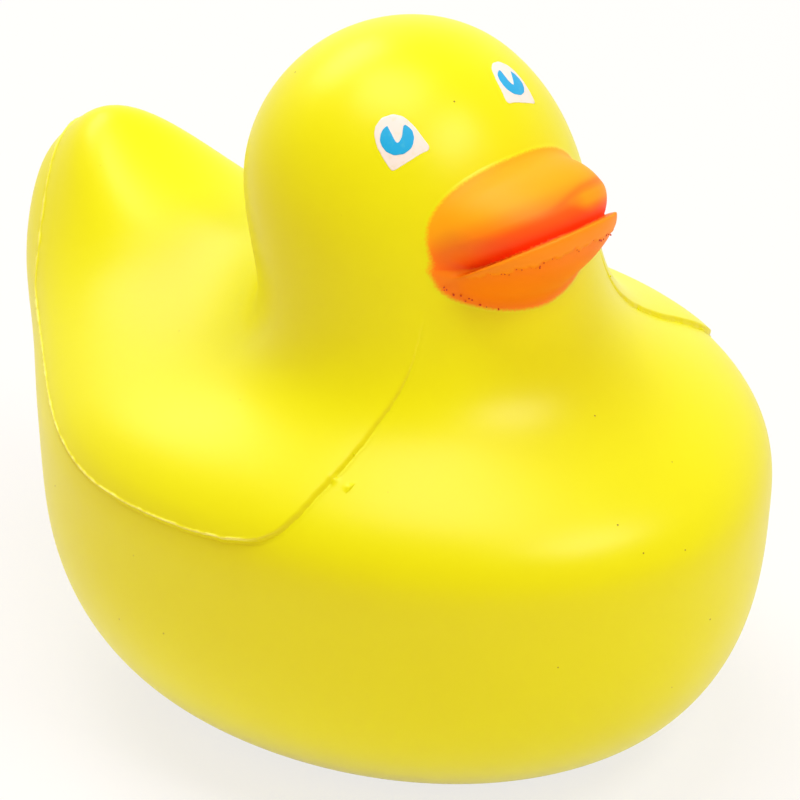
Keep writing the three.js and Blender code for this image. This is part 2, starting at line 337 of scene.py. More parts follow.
def torn_band(q):
    """1 on the flash under the rim, 0 below its torn edge and at the corners of the mouth."""
    inside = q[..., 2] - BOWL_RIM + torn_depth(q)
    return smoothstep(q[..., 0], *TORN_START) * smoothstep(inside, -TORN_EDGE, TORN_EDGE)


def bill_form(p):
    """The lobes together: open along the mouth, grown together at its corners."""
    upper, bowl = bill_lobes(p)
    ahead = pitched(p, BILL_X, BILL_Z, BILL_PITCH)[..., 0]
    return join(upper, bowl, mix(CORNER_FILLET, MOUTH_FILLET, smoothstep(ahead, *GROWN_TOGETHER)))


def let_in_bill(p):
    """The bill let into the head with a fillet, cut off where the fillet has run out."""
    bill = bill_form(p)
    above = pitched(p, BILL_X, BILL_Z, BILL_PITCH)[..., 2]
    fillet = mix(FILLET_CHEEK, FILLET_CROWN, smoothstep(above, *CHEEK_TO_CROWN))
    root = join(bill, duck_form(p) + BILL_SINK, fillet)
    return np.maximum(root, bill - fillet)


def whole_form(p):
    """The duck with its bill, without the flat base."""
    return np.minimum(duck_form(p), let_in_bill(p))


# Skins: closed meshes seated on the forms


def slope(form, p):
    """Slope of a form at each point."""
    step = 0.01
    slopes = []
    for axis in np.eye(3) * step:
        slopes.append((form(p + axis) - form(p - axis)) / (2 * step))
    return np.stack(slopes, -1)


def normal(form, p):
    g = slope(form, p)
    return g / np.linalg.norm(g, axis=-1, keepdims=True)


def seat(form, p, passes=3):
    """Moves points onto the skin of a form."""
    flattest = 0.05
    for _ in range(passes):
        g = slope(form, p)
        steepness = np.maximum((g * g).sum(-1), flattest)
        p = p - g * (form(p) / steepness)[..., None]
    return p


def net(form, low, high, pitch):
    """Skin of a form: a corner in each grid cell that it crosses, a facet round each grid edge."""
    low = np.array(low, float)
    count = np.ceil((np.array(high) - low) / pitch).astype(int) + 1
    lines = [low[axis] + pitch * np.arange(count[axis]) for axis in range(3)]
    value = form(np.stack(np.meshgrid(*lines, indexing="ij"), -1))
    inside = value < 0
    rings = []
    crossings = []
    for axis in range(3):
        start = np.argwhere(np.diff(inside, axis=axis))
        end = start + np.eye(3, dtype=int)[axis]
        from_value = value[tuple(start.T)]
        to_value = value[tuple(end.T)]
        share = from_value / (from_value - to_value)
        crossings.append(low + pitch * (start + share[:, None] * np.eye(3)[axis]))
        ring = []
        for m, n in ((1, 1), (0, 1), (0, 0), (1, 0)):
            cell = start.copy()
            cell[:, (axis + 1) % 3] -= m
            cell[:, (axis + 2) % 3] -= n
            ring.append(np.ravel_multi_index(cell.T, count))
        ring = np.stack(ring, 1)
        outwards = from_value >= 0
        ring[outwards] = ring[outwards][:, ::-1]
        rings.append(ring)
    rings = np.concatenate(rings)
    crossings = np.repeat(np.concatenate(crossings), 4, axis=0)
    _, corner = np.unique(rings.ravel(), return_inverse=True)
    total = np.bincount(corner)
    points = np.stack([np.bincount(corner, crossings[:, axis]) / total for axis in range(3)], -1)
    return points, corner.reshape(-1, 4)


def even_out(form, points, facets, passes):
    """Moves each corner towards the middle of its neighbours and seats it again."""
    start = facets.ravel()
    end = np.roll(facets, -1, axis=1).ravel()
    total = np.bincount(start, minlength=len(points)) + np.bincount(end, minlength=len(points))
    for _ in range(passes):
        middle = []
        for axis in range(3):
            gathered = np.bincount(start, points[end, axis], len(points))
            gathered += np.bincount(end, points[start, axis], len(points))
            middle.append(gathered / total)
        points = seat(form, mix(points, np.stack(middle, -1), 0.5), 1)
    return seat(form, points)


def spline(knots, per_span):
    """Smooth line through knots."""
    knots = np.array(knots, float)
    padded = np.concatenate((2 * knots[:1] - knots[1:2], knots, 2 * knots[-1:] - knots[-2:-1]))
    line = []
    for a, b, c, d in zip(padded[:-3], padded[1:-2], padded[2:-1], padded[3:]):
        for t in np.arange(per_span) / per_span:
            bend = (2 * a - 5 * b + 4 * c - d) * t * t + (3 * b - a - 3 * c + d) * t ** 3
            line.append(b + ((c - a) * t + bend) / 2)
    line.append(knots[-1])
    return np.array(line)


def even_steps(line, step):
    """A line walked in even steps, by its first three columns."""
    lengths = np.linalg.norm(np.diff(line[:, :3], axis=0), axis=1)
    reached = np.concatenate(((0,), np.cumsum(lengths)))
    stops = np.linspace(0, reached[-1], int(reached[-1] / step) + 1)
    return np.stack([np.interp(stops, reached, column) for column in line.T], -1)


# Materials: reaches in millimetres, and the pinholes' depth in heights of the orange peel
UNBURST_SHARE = 0.6
PINHOLE_DEPTH = 6.0
SPECKLE_REACH = 0.36
COAT_EDGE = 0.25
SKIN_ROUGHNESS = (0.33, 0.38)
PAINT_ROUGHNESS = 0.54


def node(tree, kind, settings=None, links=None):
    """Adds a node with its settings and links."""
    made = tree.nodes.new(kind)
    for key, value in (settings or {}).items():
        if isinstance(key, int) or key in made.inputs:
            made.inputs[key].default_value = value
        else:
            setattr(made, key, value)
    for key, source in (links or {}).items():
        tree.links.new(source, made.inputs[key])
    return made


def start_material(name):
    material = bpy.data.materials.new(name)
    material.use_nodes = True
    material.node_tree.nodes.clear()
    return material, material.node_tree


def per_metre(size):
    """Texture scale at which a pattern repeats about every so many millimetres."""
    return 1 / (size * MM)


def attribute(tree, name):
    """Value that the mesh stores at each point under a name."""
    return node(tree, "ShaderNodeAttribute", {"attribute_name": name}).outputs["Fac"]


def noise_share(tree, place, size, detail):
    """Noise from 0 to 1 that repeats about every so many millimetres."""
    settings = {"Scale": per_metre(size), "Detail": detail}
    return node(tree, "ShaderNodeTexNoise", settings, {"Vector": place}).outputs["Fac"]


def colour_mix(tree, share, first, second):
    """Colour between two colours, each a hex value or a socket."""
    settings = {"data_type": "RGBA"}
    links = {0: share}
    for socket, colour in ((6, first), (7, second)):
        if isinstance(colour, str):
            settings[socket] = linear(colour)
        else:
            links[socket] = colour
    return node(tree, "ShaderNodeMix", settings, links).outputs[2]


def painted_foam(name):
    """Polyurethane foam moulded with its own satin skin, the bill sprayed with duller orange paint.

    The skin is a little uneven in tone, has a fine orange peel and burst pinholes darkened with painted
    shade, a painted highlight along the flash's crest and painted shade under the wing's edge. The paint
    has a speckled edge, painted light that makes it paler on the crown, nose and torn band, and painted
    shade that makes it red round the mouth."""
    material, tree = start_material(name)
    place = node(tree, "ShaderNodeTexCoord").outputs["Object"]
    clouds = noise_share(tree, place, 11, 3.0)
    peel = noise_share(tree, place, 1.3, 2.0)
    speckle = noise_share(tree, place, 0.22, 2.0)
    foam = colour_mix(tree, clouds, "#E8EB00", "#EAF000")

    # Burst bubbles: where the middle of a chosen cell lies just under the skin
    cells = node(tree, "ShaderNodeTexVoronoi", {"Scale": per_metre(3.5)}, {"Vector": place})
    pick = node(tree, "ShaderNodeSeparateColor", {}, {"Color": cells.outputs["Color"]})
    chosen = node(tree, "ShaderNodeMath", {"operation": "GREATER_THAN", 1: UNBURST_SHARE},
                  {0: pick.outputs["Red"]})
    hole = node(tree, "ShaderNodeMapRange",
                {"From Min": 0.018, "From Max": 0.036, "To Min": 1.0, "To Max": 0.0},
                {"Value": cells.outputs["Distance"]})
    pinhole = node(tree, "ShaderNodeMath", {"operation": "MULTIPLY"},
                   {0: hole.outputs[0], 1: chosen.outputs[0]}).outputs[0]
    # Painted shade darkens the burst pinholes
    holed = colour_mix(tree, pinhole, foam, "#8C6C00")
    # Painted highlight: the flash's crest painted pale
    pale = colour_mix(tree, attribute(tree, "rubbed"), holed, "#F8F4A0")
    # Painted shade: the seam painted darker under the wing's edge and along the front step
    skin_colour = colour_mix(tree, attribute(tree, "grimed"), pale, "#D0BA00")

    # Paint: its depth inside the sprayed edge in millimetres, roughened into fine speckles
    rough_edge = node(tree, "ShaderNodeMath",
                      {"operation": "MULTIPLY_ADD", 1: SPECKLE_REACH, 2: -SPECKLE_REACH / 2}, {0: speckle})
    edge = node(tree, "ShaderNodeMath", {"operation": "ADD"},
                {0: attribute(tree, "paint"), 1: rough_edge.outputs[0]})
    coat = node(tree, "ShaderNodeMapRange",
                {"interpolation_type": "SMOOTHSTEP", "From Min": -COAT_EDGE, "From Max": COAT_EDGE},
                {"Value": edge.outputs[0]}).outputs[0]
    # Painted light makes the paint paler and yellower on the crown, the nose and the torn band
    orange = colour_mix(tree, attribute(tree, "bill_painted_light"), "#FE8600", "#FEAE00")
    # Painted shade turns the paint red round the mouth, in the valley and along the crease
    shaded_orange = colour_mix(tree, attribute(tree, "bill_painted_shade"), orange, "#FC3200")
    colour = colour_mix(tree, coat, skin_colour, shaded_orange)
    satin = node(tree, "ShaderNodeMapRange", {"To Min": SKIN_ROUGHNESS[0], "To Max": SKIN_ROUGHNESS[1]},
                 {"Value": clouds})
    roughness = node(tree, "ShaderNodeMix", {"data_type": "FLOAT", 3: PAINT_ROUGHNESS},
                     {0: coat, 2: satin.outputs[0]})

    dents = node(tree, "ShaderNodeMath", {"operation": "MULTIPLY_ADD", 1: -PINHOLE_DEPTH},
                 {0: pinhole, 2: peel})
    bump = node(tree, "ShaderNodeBump", {"Strength": 0.4, "Distance": 0.03 * MM},
                {"Height": dents.outputs[0]})
    skin = node(tree, "ShaderNodeBsdfPrincipled", {"IOR": 1.5, "Specular IOR Level": 0.3},
                {"Base Color": colour, "Roughness": roughness.outputs[0], "Normal": bump.outputs[0]})
    node(tree, "ShaderNodeOutputMaterial", {}, {"Surface": skin.outputs[0]})
    return material


def printed_ink(name, colour, thin_colour):
    """Pad-printed ink: a thin flat film, slightly starved in spots so that it isn't quite even."""
    material, tree = start_material(name)
    place = node(tree, "ShaderNodeTexCoord").outputs["Object"]
    starved = noise_share(tree, place, 0.7, 3.0)
    spots = node(tree, "ShaderNodeMapRange", {"From Min": 0.55, "From Max": 0.75}, {"Value": starved})
    ink = colour_mix(tree, spots.outputs[0], colour, thin_colour)
    bump = node(tree, "ShaderNodeBump", {"Strength": 0.3, "Distance": 0.02 * MM}, {"Height": starved})
    film = node(tree, "ShaderNodeBsdfPrincipled", {"Roughness": 0.4, "Specular IOR Level": 0.4},
                {"Base Color": ink, "Normal": bump.outputs[0]})
    node(tree, "ShaderNodeOutputMaterial", {}, {"Surface": film.outputs[0]})
    return material


FOAM = painted_foam("polyurethane_foam_with_sprayed_bill")
WHITE_INK = printed_ink("white_pad_ink", "#F0EEF2", "#ECE8E0")
BLUE_INK = printed_ink("blue_pad_ink", "#00AEF4", "#2EB8F2")
DRIED_PAINT = printed_ink("dried_paint_clots", "#D23C00", "#B02000")


# Pieces


def paint_tones(points):
    """Depth of paint inside its edge, the painted shade that makes it red round the mouth, and the painted
    light that makes it paler.
    """
    upper, bowl = bill_lobes(points)
    q = pitched(points, BILL_X, BILL_Z, BILL_PITCH)
    ahead, aside = q[:, 0], q[:, 1]
    above_mouth = q[:, 2] - BOWL_RIM
    on_upper = smoothstep(bowl - upper, -LOBE_EDGE, LOBE_EDGE)
    to_tip = smoothstep(ahead, *TIP_START)
    between = 1 - smoothstep(np.maximum(upper, bowl), 0.0, MOUTH_REACH)
    in_mouth = between * smoothstep(ahead, *MOUTH_START)
    valley_top = mix(*VALLEY_TOP, smoothstep(aside, *VALLEY_TURN))
    blur = mix(*VALLEY_BLUR, to_tip)
    valley = 1 - smoothstep(above_mouth, valley_top - blur, valley_top + blur)
    valley = valley * mix(VALLEY_AT_CORNER, 1.0, to_tip)
    crease_top = mix(*CREASE_TOP, smoothstep(aside, *CREASE_TURN))
    crease = ridge(above_mouth, crease_top, CREASE_HALF_WIDTH) * smoothstep(aside, *CREASE_START)
    nose = smoothstep(aside, *NOSE_START) * smoothstep(above_mouth, *NOSE_LOW)
    nose = nose * (1 - smoothstep(above_mouth, *NOSE_HIGH))
    # Painted light: paler on the crown and on the torn band, with a painted highlight on the nose
    on_crown = np.maximum(smoothstep(above_mouth, *CROWN_LEVELS), NOSE_PAINTED_HIGHLIGHT * nose * to_tip)
    # Painted shade in the valley, round the mouth and along the crease
    bill_painted_shade = VALLEY_PAINTED_SHADE * valley + MOUTH_PAINTED_SHADE * in_mouth + CREASE_PAINTED_SHADE * crease
    on_torn = (1 - on_upper) * torn_band(q)
    return {"paint": np.clip(PAINT_MARGIN - bill_form(points), -PAINT_FAR, PAINT_FAR),
            "bill_painted_shade": np.clip(on_upper * bill_painted_shade, 0, 1),
            "bill_painted_light": np.clip(on_upper * on_crown + TORN_PAINTED_LIGHT * on_torn, 0, 1)}


def piece(name, points, facets, material, slot, painted_light_and_shade=None):
    """A closed piece of the duck from points in millimetres, with what its material needs at each point."""
    points = np.asarray(points)
    mesh = bpy.data.meshes.new(name)
    placed = (points + np.array((BODY_AHEAD, 0, 0))) * MM
    mesh.from_pydata(placed.tolist(), [], [list(map(int, facet)) for facet in facets])
    mesh.polygons.foreach_set("use_smooth", np.ones(len(mesh.polygons), bool))
    values = paint_tones(points)
    values.update(painted_light_and_shade or {})
    for key, value in values.items():
        mesh.attributes.new(key, "FLOAT", "POINT").data.foreach_set("value", value.astype(np.float32))
    mesh.materials.append(material)
    mesh.update()
    return ready(bpy.data.objects.new(name, mesh))


def ready(made):
    """Puts an object in the scene as part of the duck."""
    bpy.context.scene.collection.objects.link(made)
    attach(made, "root")
    return made


def parting_line():
    """Points along the line, how far the wing stands proud there, and directions into the wing."""
    half = spline(PARTING, 24)
    other = half[1:] * np.array((1, -1, 1, 1))
    line = even_steps(np.concatenate((other[::-1], half)), PARTING_STEP)
    points = seat(duck_form, line[:, :3], 6)
    along = np.gradient(points, axis=0)
    along /= np.linalg.norm(along, axis=1, keepdims=True)
    inwards = np.cross(along, normal(duck_form, points))
    if inwards[len(inwards) // 4, 2] < 0:
        inwards = -inwards
    return points, line[:, 3], inwards


def duck_piece(line):
    """The foam skin, with the wings and back moved out behind the parting line."""
    points, lifts, inwards = line
    skin, facets = net(foam_form, SKIN_LOW, SKIN_HIGH, SKIN_PITCH)
    skin = even_out(foam_form, skin, facets, passes=4)
    tree = kdtree.KDTree(len(points))
    for n, point in enumerate(points):
        tree.insert(point, n)
    tree.balance()
    nearest = np.array([tree.find(corner)[1] for corner in skin])
    away = skin - points[nearest]
    distance = np.linalg.norm(away, axis=1)
    inside = (away * inwards[nearest]).sum(1) > 0
    proud = lifts[nearest] * (1 - smoothstep(distance, 0, WING_FADE)) * smoothstep(distance, *WING_START)
    skin = skin + normal(foam_form, skin) * np.where(inside, proud, 0)[:, None]
    duck = piece("duck", skin, facets, FOAM, "yellow_foam")
    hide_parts("foam_duck")


def seam_piece(line):
    """The moulded edge of the wings: a step with a fringe of flash, bedded in the skin."""
    points, lifts, inwards = line
    outside = np.linspace(*SEAM_COARSE_OUTSIDE)
    inside = np.linspace(*SEAM_COARSE_INSIDE)
    across = np.concatenate((outside, np.arange(*SEAM_FINE), inside))
    rows = points[:, None] + inwards[:, None] * across[None, :, None]
    rows = seat(duck_form, rows, 4)
    ups = normal(duck_form, rows)
    ragged = np.array([noise.noise(Vector(point) * RAGGED_SCALE) for point in points])
    frayed = [noise.noise(Vector(point) * FRAYED_SCALE + Vector(FRAYED_START)) for point in points]
    frayed = np.array(frayed)
    front = smoothstep(points[:, 0], *WING_FRONT)
    uneven = FLASH_PLAIN + FLASH_RAGGED * ragged + FLASH_FRAYED * frayed
    flash = FLASH_HEIGHT * np.clip(uneven, *FLASH_RANGE)
    raised = smoothstep(lifts, *FLASH_FROM_LIFT)
    flash *= raised * mix(1.0, FLASH_AT_FRONT, front)
    shift = RAGGED_SHIFT * ragged + FRAYED_SHIFT * frayed
    t = across[None, :] - shift[:, None]
    half_wall = mix(*WALL_HALF_WIDTH, front)[:, None]
    rise = smoothstep(t / half_wall, -1.0, 1.0)
    step = lifts[:, None] * (1 - smoothstep(np.abs(across), 0, WING_FADE))[None, :] * rise
    crest = ridge(t, FLASH_PLACE, FLASH_HALF_WIDTH)
    groove = -GROOVE_DEPTH * ridge(t, GROOVE_PLACE, FLASH_HALF_WIDTH) * raised[:, None]
    sunk = smoothstep(-across, SEAM_SUNK_OUTSIDE, SEAM_OUTSIDE)
    sunk = sunk + smoothstep(across, SEAM_SUNK_INSIDE, SEAM_INSIDE)
    bedded = SEAM_PROUD - SEAM_SUNK * sunk
    ended = -SEAM_END_SUNK * (1 - smoothstep(lifts, 0.0, SEAM_END_LIFT))
    height = step + flash[:, None] * crest + groove + bedded[None, :] + ended[:, None]
    for lump in LUMPS:
        away = np.linalg.norm(rows - seat(duck_form, np.array((lump,)))[0], axis=-1)
        height += LUMP_HEIGHT * ridge(away, 0, LUMP_RADIUS)
    top = rows + ups * height[..., None]
    sides = [0, rows.shape[1] // 2, -1]
    under = rows[:, ::-1][:, sides] - ups[:, ::-1][:, sides] * SEAM_DEPTH
    hidden = np.zeros((len(points), len(sides)))
    # Painted highlight: the flash's crest painted paler at the back and bottom
    rubbed = FLASH_PAINTED_HIGHLIGHT * crest * (np.clip(flash / FLASH_HEIGHT, 0, 1) * (1 - front))[:, None]
    # Painted shade: a darker line painted under the edge at the back and bottom, and along the step at the
    # front
    shade_under_edge = ridge(t, SHADE_UNDER_EDGE_PLACE, SHADE_UNDER_EDGE_HALF_WIDTH) * (1 - front)[:, None]
    shade_front_step = ridge(t, SHADE_FRONT_STEP_PLACE, SHADE_FRONT_STEP_HALF_WIDTH) * front[:, None]
    grimed = SHADE_UNDER_EDGE * shade_under_edge + SHADE_FRONT_STEP * shade_front_step
    grimed = grimed * smoothstep(lifts, *SHADE_FROM_LIFT)[:, None]
    # Painted highlight and painted shade for the seam's colour
    painted_light_and_shade = {}
    for key, value in (("rubbed", rubbed), ("grimed", grimed)):
        painted_light_and_shade[key] = np.concatenate((value, hidden), 1).ravel()
    loops = np.concatenate((top, under), 1)
    piece("wing_seam", *loft(loops), FOAM, "yellow_foam", painted_light_and_shade)


def loft(loops):
    """Closed tube through loops of points, with flat ends, facing outwards."""
    count, around = loops.shape[:2]
    index = np.arange(count * around).reshape(count, around)
    nearer = index[:-1]
    further = index[1:]
    facets = np.stack((nearer, np.roll(nearer, -1, 1), np.roll(further, -1, 1), further), -1).reshape(-1, 4)
    facets = facets.tolist() + [index[0, ::-1].tolist(), index[-1].tolist()]
    points = loops.reshape(-1, 3)
    if volume(points, facets) < 0:
        facets = [facet[::-1] for facet in facets]
    return points, facets


def volume(points, facets):
    """Six times the volume that facets close in, negative where they face inwards."""
    total = 0.0
    for facet in facets:
        first = points[facet[0]]
        for b, c in zip(facet[1:-1], facet[2:]):
            total += first @ np.cross(points[b], points[c])
    return total


def bill_piece():
    """The bill, seated finely so that its lip and torn edge stay crisp."""
    skin, facets = net(let_in_bill, BILL_SKIN_LOW, BILL_SKIN_HIGH, BILL_SKIN_PITCH)
    skin = even_out(let_in_bill, skin, facets, passes=2)
    piece("bill", skin, facets, FOAM, "orange_paint")


# Eyes: the print's outline in millimetres, forwards and up, round each eye's own direction
EYE_WHITE = (
    (-0.86, -4.10), (0.72, -3.09), (2.25, -2.06), (2.90, -1.80), (2.96, -1.37),
    (2.62, -0.95), (1.41, 0.72), (0.26, 1.80), (-0.84, 2.08), (-2.03, 1.65),
    (-2.63, 0.75), (-2.78, -0.14), (-2.42, -1.56), (-1.64, -2.98),
)
IRIS_MIDDLE = (-0.40, -0.62)
IRIS_RADIUS = 1.74
IRIS_START = 126
IRIS_END = 422
IRIS_NOTCH = ((-1.37, 0.71), (-1.02, 0.01), (-0.42, -1.03), (0.05, -0.53), (0.24, 0.70), (0.38, 0.86))
# Side, turn from forwards, rise, and twist of the iris in degrees
EYES = {"right": (-1, 44.0, 39.0, 0.0), "left": (1, 29.5, 46.8, 32.0)}
INK_DEPTH = 0.25
WHITE_THICKNESS = 0.025
WHITE_RAGGED = 0.012
WHITE_RINGS = (0, 0.04, 0.15, 0.4, 0.7)
IRIS_THICKNESS = 0.045
IRIS_RAGGED = 0.06
IRIS_ROWS = (0, 0.05, 0.3, 0.65, 0.95, 1)
OUTLINE_STEP = 0.12


def ink_film(name, flat, facets, rim, eye, thickness, material, slot):
    """A thin closed film of ink that follows the head, from a flat shape and its rim."""
    side, turn, rise = eye[:3]
    turn = math.radians(turn)
    rise = math.radians(rise)
    outwards = np.array((math.cos(turn) * math.cos(rise), math.sin(turn) * math.cos(rise), math.sin(rise)))
    forwards = np.array((math.sin(turn), -math.cos(turn), 0))
    upwards = np.array((-math.cos(turn) * math.sin(rise), -math.sin(turn) * math.sin(rise), math.cos(rise)))
    middle = np.array((HEAD_X, 0, HEAD_Z)) + outwards * HEAD_REACH[0]
    points = middle + flat[:, :1] * forwards + flat[:, 1:] * upwards
    for _ in range(6):
        g = slope(duck_form, points) @ outwards
        points = points - outwards * (duck_form(points) / np.maximum(g, 0.3))[:, None]
    ups = normal(duck_form, points)
    top = points + ups * thickness
    under = points - ups * INK_DEPTH
    count = len(flat)
    closed = [list(facet) for facet in facets]
    closed += [[count + corner for corner in facet[::-1]] for facet in facets]
    for a, b in zip(rim, np.roll(rim, -1)):
        closed.append([b, a, count + a, count + b])
    both = np.concatenate((top, under)) * np.array((1, side, 1))
    if volume(both, closed) < 0:
        closed = [facet[::-1] for facet in closed]
    piece(name, both, closed, material, slot)


def strip(outer, inner, shares):
    """Flat shape between two lines, with its facets and its rim in order."""
    rows = np.stack([mix(outer, inner, share) for share in shares])
    count, length = rows.shape[:2]
    index = np.arange(count * length).reshape(count, length)
    corners = (index[:-1, :-1], index[:-1, 1:], index[1:, 1:], index[1:, :-1])
    facets = np.stack(corners, -1).reshape(-1, 4)
    rim = np.concatenate((index[0], index[1:-1, -1], index[-1, ::-1], index[-2:0:-1, 0]))
    return rows.reshape(-1, 2), facets, rim


def eye_pieces(name, eye):
    """The white of an eye and the blue iris printed over it."""
    knots = np.array(EYE_WHITE + EYE_WHITE[:1])
    outline = even_steps(knots, OUTLINE_STEP)[:-1]
    for _ in range(6):
        outline = (np.roll(outline, 1, 0) + 2 * outline + np.roll(outline, -1, 0)) / 4
    ragged = np.array([noise.noise(Vector((x * 2.2, y * 2.2, 3.0))) for x, y in outline])
    outline = outline * (1 + WHITE_RAGGED * ragged[:, None])
    centre = outline.mean(0)
    rings = np.concatenate([mix(outline, centre, share) for share in WHITE_RINGS] + [centre[None]])
    index = np.arange(len(rings) - 1).reshape(len(WHITE_RINGS), len(outline))
    around = np.roll(index, -1, 1)
    facets = np.stack((index[:-1], around[:-1], around[1:], index[1:]), -1).reshape(-1, 4).tolist()
    facets += [[a, b, len(rings) - 1] for a, b in zip(index[-1], around[-1])]
    ink_film(f"eye_white_{name}", rings, facets, index[0], eye, WHITE_THICKNESS, WHITE_INK, "white_ink")

    turns = np.radians(np.linspace(IRIS_START, IRIS_END, 90))
    wobble = [noise.noise(Vector((math.cos(turn) * 3, math.sin(turn) * 3, 8.0))) for turn in turns]
    radius = IRIS_RADIUS + IRIS_RAGGED * np.array(wobble)
    arc = np.stack((np.cos(turns), np.sin(turns)), -1) * radius[:, None] + np.array(IRIS_MIDDLE)
    notch = spline(IRIS_NOTCH, 30)
    stops = np.linspace(0, len(notch) - 1, len(arc))
    notch = np.stack([np.interp(stops, np.arange(len(notch)), column) for column in notch.T], -1)
    flat, facets, rim = strip(arc, notch, IRIS_ROWS)
    twist = math.radians(eye[3])
    turned = np.array(((math.cos(twist), math.sin(twist)), (-math.sin(twist), math.cos(twist))))
    flat = (flat - np.array(IRIS_MIDDLE)) @ turned + np.array(IRIS_MIDDLE)
    ink_film(f"iris_{name}", flat, facets, rim, eye, IRIS_THICKNESS, BLUE_INK, "blue_ink")


# Crumbs: specks of foam on the parting line, and clots of paint on the torn mouth and the paint's edge
CRUMBS = {
    "foam_crumbs": {"Spacing": 0.5 * MM, "Size": 0.16 * MM, "Share": 0.22, "Spread": 0.25 * MM},
    "mouth_clots": {"Spacing": 0.2 * MM, "Size": 0.12 * MM, "Share": 0.3, "Spread": 0.1 * MM},
    "edge_clots": {"Spacing": 0.25 * MM, "Size": 0.15 * MM, "Share": 0.7, "Spread": 0.4 * MM},
}
CRUMBS_FROM_LIFT = 0.1
PAINT_RUN = ((19.6, -10.4, 57.9), (20.4, -9.4, 56.9), (21.3, -8.2, 56.1), (22.5, -5.9, 55.0))


def crumb_tree():
    """Geometry nodes that strew small lumps of one material along a line."""
    tree = bpy.data.node_groups.new("crumbs_along_a_line", "GeometryNodeTree")
    face = tree.interface
    face.new_socket("Line", in_out="INPUT", socket_type="NodeSocketGeometry")
    for name in ("Spacing", "Size", "Share", "Spread"):
        face.new_socket(name, in_out="INPUT", socket_type="NodeSocketFloat")
    face.new_socket("Seed", in_out="INPUT", socket_type="NodeSocketInt")
    face.new_socket("Material", in_out="INPUT", socket_type="NodeSocketMaterial")
    face.new_socket("Crumbs", in_out="OUTPUT", socket_type="NodeSocketGeometry")
    given = node(tree, "NodeGroupInput").outputs
    curve = node(tree, "GeometryNodeMeshToCurve", {}, {"Mesh": given["Line"]})
    points = node(tree, "GeometryNodeCurveToPoints", {"mode": "LENGTH"},
                  {"Curve": curve.outputs[0], "Length": given["Spacing"]})

    def drawn(low, high):
        """A random vector for each crumb."""
        settings = {"data_type": "FLOAT_VECTOR", 0: (low,) * 3, 1: (high,) * 3}
        return node(tree, "FunctionNodeRandomValue", settings, {"Seed": given["Seed"]}).outputs[0]

    aside = node(tree, "ShaderNodeVectorMath", {"operation": "SCALE"},
                 {0: drawn(-1, 1), "Scale": given["Spread"]})
    placed = node(tree, "GeometryNodeSetPosition", {},
                  {"Geometry": points.outputs["Points"], "Offset": aside.outputs[0]})
    chosen = node(tree, "FunctionNodeRandomValue", {"data_type": "BOOLEAN"},
                  {"Probability": given["Share"], "Seed": given["Seed"]})
    scale = node(tree, "ShaderNodeVectorMath", {"operation": "SCALE"},
                 {0: drawn(0.3, 1), "Scale": given["Size"]})
    ball = node(tree, "GeometryNodeMeshIcoSphere", {"Radius": 1.0, "Subdivisions": 2})
    strewn = node(tree, "GeometryNodeInstanceOnPoints", {},
                  {"Points": placed.outputs[0], "Selection": chosen.outputs[3], "Instance": ball.outputs[0],
                   "Rotation": drawn(0, 6), "Scale": scale.outputs[0]})
    real = node(tree, "GeometryNodeRealizeInstances", {}, {"Geometry": strewn.outputs[0]})
    coloured = node(tree, "GeometryNodeSetMaterial", {},
                    {"Geometry": real.outputs[0], "Material": given["Material"]})
    node(tree, "NodeGroupOutput", {}, {"Crumbs": coloured.outputs[0]})
    return tree


def crumbs(name, tree, points, settings):
    """Plain mesh of the crumbs that the tree strews along a line of points in millimetres."""
    path = bpy.data.meshes.new(name)
    placed = (np.asarray(points) + np.array((BODY_AHEAD, 0, 0))) * MM
    path.from_pydata(placed.tolist(), [(n, n + 1) for n in range(len(placed) - 1)], [])
    holder = bpy.data.objects.new(name + "_line", path)
    bpy.context.scene.collection.objects.link(holder)
    strewer = holder.modifiers.new("crumbs", "NODES")
    strewer.node_group = tree
    for socket in tree.interface.items_tree:
        if socket.in_out == "INPUT" and socket.name in settings:
            strewer[socket.identifier] = settings[socket.name]
    seen = holder.evaluated_get(bpy.context.evaluated_depsgraph_get())
    mesh = bpy.data.meshes.new_from_object(seen)
    mesh.name = name
    bare = np.full(len(mesh.vertices), -PAINT_FAR, np.float32)
    mesh.attributes.new("paint", "FLOAT", "POINT").data.foreach_set("value", bare)
    bpy.data.objects.remove(holder)
    ready(bpy.data.objects.new(name, mesh))


def torn_line():
    """Points along the torn edge of the flash under the bill's rim."""
    turns = np.radians(np.linspace(-75, 75, 160))
    outline = (np.abs(np.cos(turns)) ** BILL_PLAN + np.abs(np.sin(turns)) ** BILL_PLAN) ** (-1 / BILL_PLAN)
    rim_x = np.cos(turns) * outline * BOWL_REACH
    rim_y = np.sin(turns) * outline * BOWL_HALF_WIDTH
    q = np.stack((rim_x, rim_y, 0 * turns), -1)
    depth = torn_depth(q)
    narrowing = (1 - (depth / BOWL_DEPTH) ** BOWL_SQUARENESS) ** (1 / BOWL_SQUARENESS)
    along = q[:, 0] * narrowing
    above = BOWL_RIM - depth
    angle = math.radians(BILL_PITCH)
    x = BILL_X + along * math.cos(angle) - above * math.sin(angle)
    z = BILL_Z + along * math.sin(angle) + above * math.cos(angle)
    return np.stack((x, q[:, 1] * narrowing, z), -1)


def crumb_pieces(line):
    """Crumbs of foam along the seam, and clots of paint on the bill."""
    points, lifts, _ = line
    tree = crumb_tree()
    lines = {
        "foam_crumbs": (points[lifts > CRUMBS_FROM_LIFT], FOAM, "yellow_foam"),
        "mouth_clots": (torn_line(), DRIED_PAINT, "orange_paint"),
        "edge_clots": (seat(whole_form, spline(PAINT_RUN, 20)), DRIED_PAINT, "orange_paint"),
    }
    for n, (name, (along, material, slot)) in enumerate(lines.items()):
        settings = CRUMBS[name] | {"Seed": SEED + n, "Material": material}
        crumbs(name, tree, along, settings)


